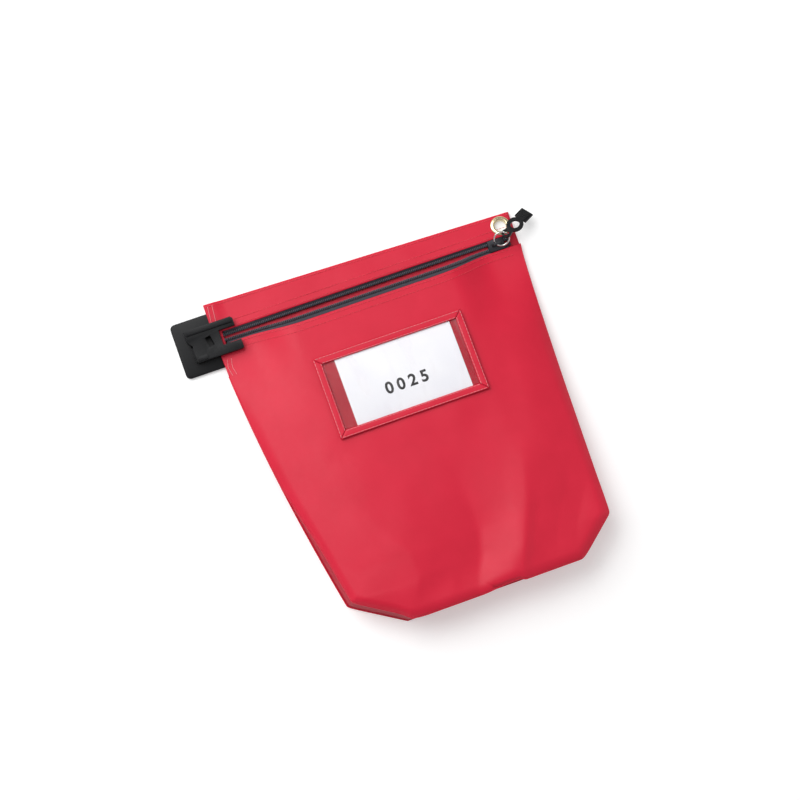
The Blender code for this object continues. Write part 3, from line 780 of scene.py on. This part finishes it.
eyelet_hole(facing, 0.0060)
row_inset = 0.0022
row_steps = 60
top_row = []
for number in range(row_steps + 1):
    x = facing_low.x + 0.002 + (facing_high.x - facing_low.x - 0.004) * number / row_steps
    top_row.append(on_facing(x, header_edge(x) - row_inset, thread_lift))
zip_rows = [
    [
        on_facing(row_start + 0.240 * number / row_steps, facing_low.y + back_from, thread_lift)
        for number in range(row_steps + 1)
    ]
    for back_from in row_backs
]
end_row = [
    on_facing(facing_high.x - row_inset, facing_low.y + 0.001 + 0.023 * number / 10, thread_lift)
    for number in range(8)
]
header_tacks = []
for out in (0.0024, 0.0062):
    header_tacks.append([
        on_facing(
            facing_low.x + out + zigzag * (-1) ** number,
            facing_high.y - 0.0035 - 0.0011 * number,
            thread_lift,
        )
        for number in range(12)
    ])
header_tacking = along("header_bar_tacks", header_tacks, stitch, tack_pitch, pale_thread)
header_rows = [top_row, *zip_rows, end_row]
header_stitches = along("header_stitches", header_rows, stitch, stitch_pitch, red_thread)


def back_point(u, t):
    """The back panel's underside follows the front panel's outline."""
    y = back_high.y + (back_low.y - back_high.y) * t
    left, right = back_sides(y)
    x = left + (right - left) * u
    y = min(y, header_edge(x))
    return Vector((x, y, fabric_thick))


left_side = sorted((p.y, p.x) for p in flat_edge if p.x < 0)
right_side = sorted((p.y, p.x) for p in flat_edge if p.x > 0)
left_side.append((facing_low.y, back_low.x))
right_side.append((facing_low.y, back_high.x))


def back_sides(y):
    """The back panel's left and right edges at a height up the bag."""
    return [np.interp(y, *zip(*line)) for line in (left_side, right_side)]


back = grid_sheet("back_panel_skin", 90, 110, back_point)
back.data.materials.append(red_fabric)
thickened(back, fabric_thick * 0.96)
eyelet_hole(back, 0.0087)
for piece in (facing, header_stitches, header_tacking, back):
    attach(piece, "bag")
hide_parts("header_facing")
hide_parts("back_panel")


# Zip. Woven polyester tape edged with a nylon coil, dark grey. One half is sewn under the
# facing and the other under the front panel's lip, which stands open in the middle.

tape_cloth = Paint("zip_tape_cloth", (0.035, 0.034, 0.048), 0.82)
ribs = tape_cloth.waves(0.0005)
tape_cloth.feed(tape_cloth.shader, {
    "Base Color": tape_cloth.between(ribs, (0.022, 0.021, 0.030), (0.060, 0.058, 0.078)),
    "Sheen Weight": 0.25,
})
tape_cloth.relief(ribs + tape_cloth.cloud(3000, 1.0) * 0.5, 0.00008)
coil_nylon = paint_only("zip_coil_nylon", (0.085, 0.085, 0.105), 0.38, grain=(2500, 0.00001))
coil_pitch = 0.00155
coil_wire = 0.0004
coil_half = (0.0011, 0.0008)
turn_steps = 9
wire_sides = 5


def coil_turn():
    """One turn of the coil: a flat loop of round wire across the tape's edge."""
    bm = bmesh.new()
    rings = []
    for number in range(turn_steps):
        turn = math.tau * number / turn_steps
        outward = Vector((0, math.cos(turn), math.sin(turn))).normalized()
        squared = math.copysign(abs(math.cos(turn)) ** 0.7, math.cos(turn))
        centre = Vector((0, squared * coil_half[0], coil_half[1] * math.sin(turn)))
        ring = []
        for corner in range(wire_sides):
            angle = math.tau * corner / wire_sides
            offset = outward * math.cos(angle) + Vector((1, 0, 0)) * math.sin(angle)
            ring.append(bm.verts.new(centre + offset * coil_wire))
        rings.append(ring)
    join_rings(bm, rings, closed=True)
    return mesh_of("coil_turn", bm)


one_turn = hidden_shape("coil_turn", coil_turn())
tape_start = -0.0010
tape_wide = 0.0070
for half, side in (("upper", 1), ("lower", -1)):
    tape_tree = node_tree_of(f"zip_tape_{half}")
    spine_line = smoothed(zip_spine[f"zip_chain_{half}"], 0.002)

    def tape_point(u, t, spine_line=spine_line, tape_tree=tape_tree, side=side):
        """The tape lies under the coil, then rises to run under the fabric."""
        spot = spine_line[round(u * (len(spine_line) - 1))].copy()
        out = tape_start + tape_wide * t
        spot.y += side * out
        under_coil = spot.z - 0.0011
        hit = tape_tree.ray_cast(Vector((spot.x, spot.y, 1)), Vector((0, 0, -1)))[0]
        level = hit.z if hit else tape_tree.find_nearest(spot)[0].z
        spot.z = under_coil + (level - under_coil) * ease((out - 0.0012) / 0.0012)
        return spot

    columns = len(spine_line) - 1
    tape = grid_sheet(f"zip_tape_{half}_skin", columns, 16, tape_point)
    if side > 0:
        tape.data.flip_normals()
    tape.data.materials.append(tape_cloth.material)
    thickened(tape, 0.00035)
    coil = along(f"zip_coil_{half}", [spine_line], one_turn, coil_pitch, coil_nylon)
    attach(tape, "bag")
    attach(coil, "bag")
    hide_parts(f"zip_tape_{half}")
    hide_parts(f"zip_chain_{half}")
    if half == "lower":
        closes_with_zip(tape)
        closes_with_zip(coil)


# Hem at the zip's end. A turned strip of the red fabric closes the end of the zip, sewn between
# the facing and the front panel beside the seal housing.

hem_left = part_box("zip_stop_upper")[0].x - 0.0008
hem_top = 0.1249
hem_wide = 0.0022
hem_tall = 0.0118
hem_level = 0.0051
hem = grid_sheet("zip_end_hem", 10, 30, lambda u, t: Vector((
    hem_left + hem_wide * u, hem_top - hem_tall * t,
    hem_level + 0.0003 * math.sin(math.pi * u) + 0.0001 * math.sin(t * 9),
)))
hem.data.materials.append(red_fabric)
thickened(hem, 0.0004)
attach(hem, "bag")


# Stops and slider. Crimped steel stops hold both ends of the zip, and a die-cast slider with a
# bail on top runs between them. All are finished in a dark lacquer.

dark_metal = paint_only(
    "dark_zip_metal", (0.035, 0.035, 0.042), 0.36, 0.6, grain=(1500, 0.00002)
)


def softened(node, name, width, finish, body):
    """A CAD shape with its edges rounded as moulding or stamping leaves them."""
    bm = merged_copy(node)
    flat = math.radians(1.0)
    bmesh.ops.dissolve_limit(bm, angle_limit=flat, verts=bm.verts, edges=bm.edges)
    piece = as_object(name, mesh_of(name, bm), finish)
    bevel = piece.modifiers.new("edges", "BEVEL")
    bevel.width = width
    bevel.segments = 3
    bevel.limit_method = "ANGLE"
    bevel.angle_limit = math.radians(28)
    bevel.use_clamp_overlap = True
    bevel.harden_normals = True
    finished(piece)
    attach(piece, body)
    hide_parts(node)
    return piece


for node in ("zip_stop_upper", "zip_stop_lower", "zip_stop_end"):
    softened(node, f"{node}_crimp", 0.0003, dark_metal, "bag")
slider = softened("zip_slider_body", "zip_slider", 0.00025, dark_metal, "slider")


# Split ring. Flattened steel wire in two turns, nickel plated, with a step where the turns
# part. It links the slider's bail to the puller.


def frame_of(node):
    """A node's middle and its long, wide and thin directions."""
    bm = merged_copy(node)
    found = np.array([v.co.copy() for v in bm.verts])
    bm.free()
    values, axes = np.linalg.eigh(np.cov((found - found.mean(0)).T))
    thin, wide, long = (Vector(axes[:, i]) for i in range(3))
    return Vector(found.mean(0)), long, wide, thin


nickel = paint_only("nickel_plate", (0.86, 0.85, 0.83), 0.16, 1.0, grain=(500, 0.00001))
ring_middle, ring_long, ring_wide, ring_thin = frame_of("split_ring")
ring_points = [v.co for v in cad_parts["split_ring"].data.vertices]
ring_reach = max((p - ring_middle).length for p in ring_points)
wire_half = 0.00060
wire_flat = 0.00030
turn_gap = 0.00031
ring_steps = 96
ring_sides = 10
bm = bmesh.new()
rings = []
for number in range(ring_steps + 1):
    share = number / ring_steps
    angle = 2 * math.tau * number / ring_steps
    outward = ring_long * math.cos(angle) + ring_wide * math.sin(angle)
    level = turn_gap * math.tanh((share - 0.5) * 9)
    centre = ring_middle + outward * (ring_reach - wire_half) + ring_thin * level
    ring = []
    for corner in range(ring_sides):
        turn = math.tau * corner / ring_sides
        across = outward * (wire_half * math.cos(turn))
        ring.append(bm.verts.new(centre + (across + ring_thin * (wire_flat * math.sin(turn)))))
    rings.append(ring)
join_rings(bm, rings)
ring_piece = as_object("split_ring_wire", mesh_of("split_ring_wire", bm), nickel)
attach(ring_piece, "ring")
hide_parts("split_ring")


# Puller. Black moulded plastic with a small hole for the ring, a large eye that the seal's peg
# goes through, and a grip ribbed on both faces.

black_plastic = Paint("black_moulding", (0.02, 0.02, 0.022), 0.42)
mottle = black_plastic.cloud(90, 4.0)
black_plastic.feed(black_plastic.shader, {
    "Base Color": black_plastic.between(
        mottle, (0.004, 0.0042, 0.0050), (0.0095, 0.0100, 0.0112)
    ),
    "Roughness": (black_plastic.cloud(500, 3.0) - 0.5) * 0.22 + 0.36,
    "Specular IOR Level": 0.2,
})
black_plastic.relief(black_plastic.cloud(2200, 2.0), 0.00003)
puller = softened("zip_puller", "zip_puller_moulding", 0.00035, black_plastic.material, "puller")
puller_middle, puller_long, _, puller_thin = frame_of("zip_puller")
puller_spots = [v.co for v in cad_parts["zip_puller"].data.vertices]
reaches = [(p - puller_middle).dot(puller_long) for p in puller_spots]
ends = [puller_middle + puller_long * reach for reach in (min(reaches), max(reaches))]
grip_end = max(ends, key=lambda p: (p - ring_middle).length)
outward = (grip_end - puller_middle).normalized()
puller_half = max(abs((p - puller_middle).dot(puller_thin)) for p in puller_spots)
rib_half = 0.0046
rib_first = 0.0010
rib_pitch = 0.0013
rib_count = 7
rib_points = [Vector((0, y, 0)) for y in (-rib_half, -0.0030, 0.0030, rib_half)]
rib_mesh = tube_mesh("rib", rib_points, 0.00036, 6, flat=0.8)
turned = Matrix((outward, outward.cross(puller_thin) * -1, puller_thin)).transposed().to_4x4()
rib_mesh.transform(turned)
bm = bmesh.new()
for face_side in (-1, 1):
    for number in range(rib_count):
        spot = grip_end - outward * (rib_first + number * rib_pitch)
        spot += puller_thin * (face_side * puller_half)
        rib_copy = rib_mesh.copy()
        rib_copy.transform(Matrix.Translation(spot))
        bm.from_mesh(rib_copy)
ribs_piece = as_object("puller_ribs", mesh_of("puller_ribs", bm), black_plastic.material)
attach(ribs_piece, "puller")


# Seal plate and housing. A flat plate lies behind the fabric and a forked housing in front of
# it, both of the puller's black plastic. A numbered seal would drop into the housing's chamber.

plate = softened("seal_base_plate", "seal_plate_moulding", 0.0004, black_plastic.material, "bag")
housing = softened("seal_housing", "seal_housing_moulding", 0.00035, black_plastic.material, "bag")


# Eyelet and washer. A pressed brass eyelet through both layers of the header, its rolled
# flange in front and its washer let into the back.

brass = Paint("aged_brass", (0.80, 0.66, 0.36), 0.26, 1.0)
worn = brass.cloud(260, 4.0)
brass.feed(brass.shader, {
    "Base Color": brass.between(worn, (0.62, 0.50, 0.27), (0.90, 0.80, 0.55)),
    "Roughness": brass.cloud(600, 3.0) * 0.20 + 0.16,
})
brass.relief(brass.cloud(400, 2.0), 0.00004)
for node in ("eyelet", "eyelet_washer"):
    rolled = softened(node, f"{node}_pressing", 0.0002, brass.material, "bag")


# Label window. A clear film over the pocket, held by four mitred strips of the red fabric that
# are each sewn down along both edges, and a printed card that slides in from the side.

card_middle = frame_of("label_card")[0]
film_middle, _, _, film_thin = frame_of("window_film")
window_up = film_thin if film_thin.z > 0 else -film_thin
window_x = Vector((1, 0, 0))
window_y = window_up.cross(window_x).normalized()
window_plane = Matrix((window_x, window_y, window_up)).transposed().to_4x4()
window_plane.translation = film_middle
film_finish = Paint("clear_film", (0.98, 0.90, 0.92), 0.08)
# Whitish patches where the film turns a little opaque are painted glints: glare off the film
# painted into its alpha.
painted_glint_streaks = film_finish.cloud(70, 1.0, (1.0, 0.25, 1.0))
painted_glint_stops = {"stops": ((0.50, 0.01), (0.60, 0.05))}
sharp = film_finish.add("ShaderNodeValToRGB", painted_glint_stops, {"Fac": painted_glint_streaks})[0]
film_finish.feed(film_finish.shader, {
    "Alpha": sharp, "Coat Weight": 0.4, "Coat Roughness": 0.06,
})
film_finish.relief(film_finish.cloud(22, 2.0), 0.0025)
film_finish.material.surface_render_method = "BLENDED"
film_width = 0.127
film_height = 0.068


def pocket_sheet(name, level):
    """A sheet of the window's size, at a level above the film's middle."""
    return grid_sheet(name, 60, 40, lambda u, t: window_plane @ Vector((
        (u - 0.5) * film_width, (0.5 - t) * film_height, level
    )))


film = pocket_sheet("window_film_sheet", 0.00012)
film.data.materials.append(film_finish.material)
thickened(film, 0.0002)
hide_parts("window_film")
vinyl = coated_fabric("window_vinyl", (0.30, 0.003, 0.014), (0.44, 0.006, 0.022), 0.22)
backing = pocket_sheet("window_backing", -0.00098)
backing.data.materials.append(vinyl)
thickened(backing, 0.0001)
border_width = 0.0063
border_long = 0.0645
border_short = 0.035
border_reach = {
    "top": (border_long, border_short, 0),
    "right": (border_short, border_long, -90),
    "bottom": (border_long, border_short, 180),
    "left": (border_short, border_long, 90),
}
border_level = 0.00060
mitre_gap = 0.0002
row_points = 41
window_rows = []
borders = []
for name, (half_long, reach, turn) in border_reach.items():
    spin = Matrix.Rotation(math.radians(turn), 4, "Z")

    def strip_point(u, t, half_long=half_long, reach=reach, spin=spin):
        """The strip is mitred at both ends and puffs up a little between its stitches."""
        shrink = half_long - border_width * t - mitre_gap
        puff = 0.00035 * math.sin(math.pi * t) ** 0.6
        bend = 0.00015 * noise.noise(Vector((u * 9, t * 2, reach * 40)))
        spot = Vector(((u * 2 - 1) * shrink, reach - border_width * t, border_level + puff + bend))
        return window_plane @ (spin @ spot)

    strip = grid_sheet(f"window_border_{name}_strip", 60, 8, strip_point)
    strip.data.materials.append(red_fabric)
    thickened(strip, fabric_thick * 0.9)
    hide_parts(f"window_border_{name}")
    borders.append(strip)
    for down_share in (0.14, 0.86):
        window_rows.append([
            strip_point(0.02 + 0.96 * number / (row_points - 1), down_share)
            + window_up * thread_lift
            for number in range(row_points)
        ])
window_stitches = along("window_stitches", window_rows, stitch, 0.0030, pale_thread)
for piece in (film, backing, window_stitches, *borders):
    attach(piece, "bag")
    closes_with_zip(piece)

card_paint = Paint("white_card", (0.86, 0.86, 0.88), 0.62)
mottle = card_paint.cloud(34, 2.0)
card_paint.feed(card_paint.shader, {
    "Base Color": card_paint.between(mottle, (0.76, 0.76, 0.82), (0.86, 0.86, 0.88)),
})
card_paint.relief(card_paint.cloud(1800, 3.0), 0.00002)
card = softened("label_card", "label_card_sheet", 0.0001, card_paint.material, "label")
ink = paint_only("black_ink", (0.008, 0.008, 0.010), 0.6)
digits = bpy.data.curves.new("card_number", "FONT")
digits.body = "0025"
digits.size = 0.0135
digits.offset = 0.0004
digits.space_character = 1.5
digits.align_x = "CENTER"
digits.align_y = "CENTER"
digits.extrude = 0.00003
raised = bpy.data.objects.new("digits", digits)
bpy.context.scene.collection.objects.link(raised)
bpy.context.view_layer.update()
graph = bpy.context.evaluated_depsgraph_get()
mesh = bpy.data.meshes.new_from_object(raised.evaluated_get(graph))
bpy.data.objects.remove(raised, do_unlink=True)
on_card = window_plane.copy()
on_card.translation = card_middle - window_y * 0.0080 + window_up * 0.00024
mesh.transform(on_card)
mesh.materials.clear()
number_piece = as_object("card_number", mesh, ink, smooth=False)
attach(number_piece, "label")
closes_with_zip(card)
closes_with_zip(number_piece)
